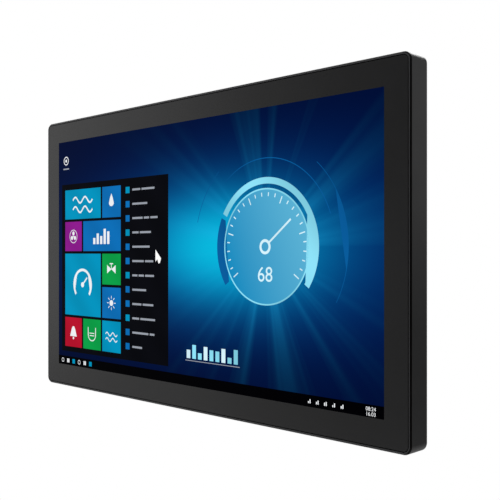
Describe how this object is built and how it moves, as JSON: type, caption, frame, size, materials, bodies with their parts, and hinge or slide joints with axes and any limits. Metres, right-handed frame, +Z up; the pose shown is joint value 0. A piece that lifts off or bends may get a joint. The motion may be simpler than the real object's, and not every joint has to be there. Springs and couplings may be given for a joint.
{
  "type": "touch panel computer",
  "caption": "Wall-mount industrial touch panel: glass-fronted display in a shallow black frame, with a fanless computer, ports and cooling fins in a box on its back.",
  "frame": {"origin": "centre of the larger wall-mount hole pattern, on the back face of the computer box; it lies behind the middle of the screen", "axes": "+X to the right as seen from the front, +Y from the glass to the back (the screen faces -Y), +Z up"},
  "size_m": [0.5274, 0.049, 0.3188],
  "materials": {
    "clear_glass": "polished, printed black round the picture",
    "black_tape": "matt",
    "clear_film": "clear",
    "lcd_glass": "polished",
    "white_film": "matt",
    "acrylic": "clear",
    "led_strip": "matt",
    "black_plastic": "matt",
    "steel": "bare sheet",
    "screw_steel": "zinc plated",
    "black_screw": "blackened",
    "green_board": "solder mask",
    "blue_board": "solder mask",
    "flex_film": "satin",
    "black_aluminium": "black anodised, satin",
    "black_paint": "fine powder coat",
    "copper": "milled",
    "pad": "soft",
    "chip": "satin",
    "choke": "matt",
    "can": "satin",
    "brass": "satin",
    "port_shell": "plated",
    "blue_plastic": "satin",
    "green_plastic": "satin",
    "switch_metal": "satin",
    "light_ring": "translucent",
    "red_plastic": "satin",
    "cable": "satin",
    "ribbon": "satin"
  },
  "bodies": {
    "housing": {"cover_glass": "clear_glass", "glass_tape": "black_tape", "touch_sensor": "clear_film", "optical_bond": "clear_film", "lcd_cell": "lcd_glass", "diffuser_films": "white_film", "light_guide": "acrylic", "reflector_sheet": "white_film", "led_bar": "led_strip", "lcd_mid_frame": "black_plastic", "lcd_back_tray": "steel", "lcd_driver_board": "green_board", "touch_flex": "flex_film", "touch_controller": "blue_board", "front_frame": "black_aluminium", "lcd_clamps": "steel", "clamp_screws": "screw_steel", "cover_gasket": "black_tape", "rear_cover": "black_paint", "cover_screws": "black_screw", "wall_mount_nuts": "screw_steel", "heat_sink": "black_aluminium", "heat_sink_screws": "black_screw", "heat_block": "copper", "thermal_pad": "pad", "processor": "chip", "main_board": "green_board", "board_standoffs": "brass", "board_screws": "screw_steel", "memory_socket": "black_plastic", "memory_module": "green_board", "drive_socket": "black_plastic", "drive_module": "green_board", "drive_screw": "brass", "battery_holder": "black_plastic", "coin_cell": "steel", "board_chokes": "choke", "board_capacitors": "can", "power_board": "blue_board", "power_board_parts": "choke", "power_inlet": "green_plastic", "power_inlet_pins": "screw_steel", "com_ports": "port_shell", "com_pins": "brass", "com_jackscrews": "screw_steel", "hdmi_port": "port_shell", "lan_jacks": "port_shell", "usb_ports": "port_shell", "port_tongues": "blue_plastic", "power_switch_body": "switch_metal", "power_light_ring": "light_ring", "power_spring": "screw_steel", "reset_switch_body": "switch_metal", "reset_spring": "screw_steel", "switch_nuts": "screw_steel", "display_cable": "ribbon", "harness_cables": "cable", "ground_terminal": "brass"},
    "power_button": {"power_button": "switch_metal"},
    "reset_button": {"reset_button": "red_plastic"}
  },
  "joints": [
    {"name": "power_button_press", "type": "slide", "parent": "housing", "child": "power_button", "axis": [0, 0, 1], "range_m": [0, 0.0015], "stiffness_N_per_m": 1200, "springref_m": -0.001, "deforming": ["power_spring"]},
    {"name": "reset_button_press", "type": "slide", "parent": "housing", "child": "reset_button", "axis": [0, 0, 1], "range_m": [0, 0.001], "stiffness_N_per_m": 1200, "springref_m": -0.001, "deforming": ["reset_spring"]}
  ]
}
